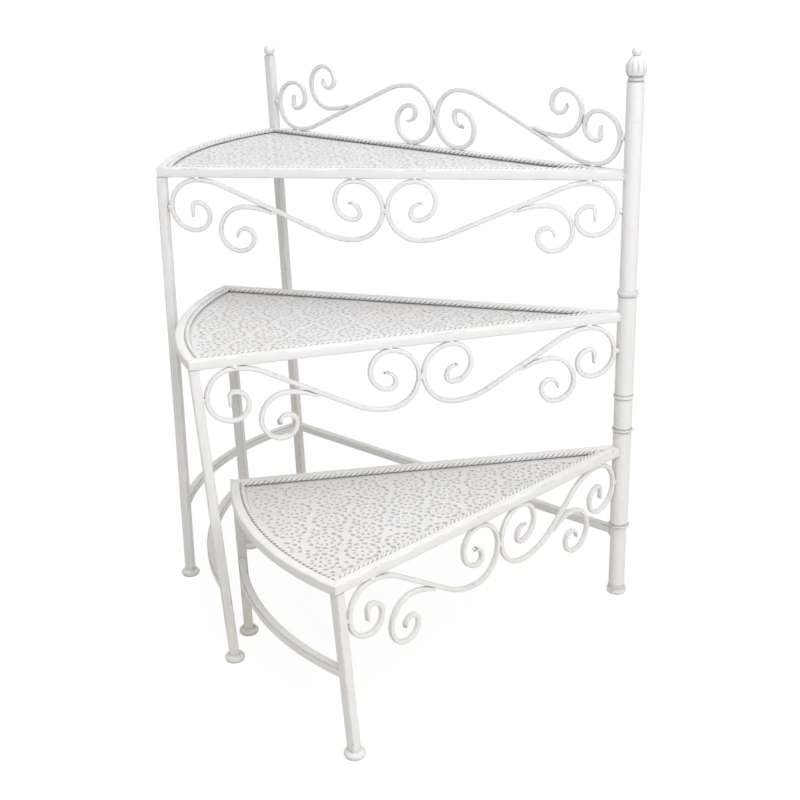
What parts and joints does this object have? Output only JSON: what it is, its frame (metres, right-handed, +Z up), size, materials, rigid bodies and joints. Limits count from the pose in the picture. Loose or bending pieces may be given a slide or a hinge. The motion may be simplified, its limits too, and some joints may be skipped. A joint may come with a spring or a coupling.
{
  "type": "tiered plant stand",
  "caption": "Painted steel plant stand with wedge shelves at stepped heights on a central column; the lower shelf frames swivel about it to nest under the top one.",
  "frame": {"origin": "middle of the underside of the column's foot, on the floor", "axes": "+Z up; the top shelf points to -X and +Y, 155.9 degrees from +X; the picture looks along +Y"},
  "size_m": [0.6502, 0.7801, 0.7601],
  "materials": {
    "white_paint": "white enamel, satin, worn",
    "worn_white_paint": "white enamel rubbed through on the high spots",
    "sheet_paint": "white enamel on perforated sheet"
  },
  "bodies": {
    "fixed_stand": {"column_foot": "white_paint", "centre_pole": "white_paint", "ring_base": "worn_white_paint", "ring_over_lower": "worn_white_paint", "spacer_sleeve": "white_paint", "ring_under_middle": "worn_white_paint", "ring_over_middle": "worn_white_paint", "finial": "white_paint", "top_plate": "sheet_paint", "top_front_bar": "white_paint", "top_back_bar": "white_paint", "top_arc_bar": "white_paint", "top_rope_trim": "worn_white_paint", "top_front_leg": "white_paint", "top_back_leg": "white_paint", "top_front_foot": "white_paint", "top_back_foot": "white_paint", "top_arc_stretcher": "white_paint", "top_panel_outer_s": "white_paint", "top_panel_outer_curl": "white_paint", "top_panel_inner_s": "white_paint", "top_panel_inner_curl": "white_paint", "top_back_stretcher": "white_paint", "rail_outer_s": "white_paint", "rail_outer_curl": "white_paint", "rail_inner_s": "white_paint", "rail_inner_curl": "white_paint", "post_ball_cap": "white_paint"},
    "middle_frame": {"middle_plate": "sheet_paint", "middle_front_bar": "white_paint", "middle_back_bar": "white_paint", "middle_arc_bar": "white_paint", "middle_rope_trim": "worn_white_paint", "middle_front_leg": "white_paint", "middle_back_leg": "white_paint", "middle_front_foot": "white_paint", "middle_back_foot": "white_paint", "middle_arc_stretcher": "white_paint", "middle_panel_outer_s": "white_paint", "middle_panel_outer_curl": "white_paint", "middle_panel_inner_s": "white_paint", "middle_panel_inner_curl": "white_paint", "middle_sleeve": "white_paint"},
    "lower_frame": {"lower_plate": "sheet_paint", "lower_front_bar": "white_paint", "lower_back_bar": "white_paint", "lower_arc_bar": "white_paint", "lower_rope_trim": "worn_white_paint", "lower_front_leg": "white_paint", "lower_back_leg": "white_paint", "lower_front_foot": "white_paint", "lower_back_foot": "white_paint", "lower_arc_stretcher": "white_paint", "lower_panel_outer_s": "white_paint", "lower_panel_outer_curl": "white_paint", "lower_panel_inner_s": "white_paint", "lower_panel_inner_curl": "white_paint", "lower_sleeve": "white_paint"}
  },
  "joints": [
    {"name": "middle_swivel", "type": "hinge", "parent": "fixed_stand", "child": "middle_frame", "pos_m": [0, 0, 0.37], "axis": [0, 0, 1], "range_deg": [-19.5, 302]},
    {"name": "lower_swivel", "type": "hinge", "parent": "fixed_stand", "child": "lower_frame", "pos_m": [0, 0, 0.18], "axis": [0, 0, 1], "range_deg": [-46, 272]}
  ]
}
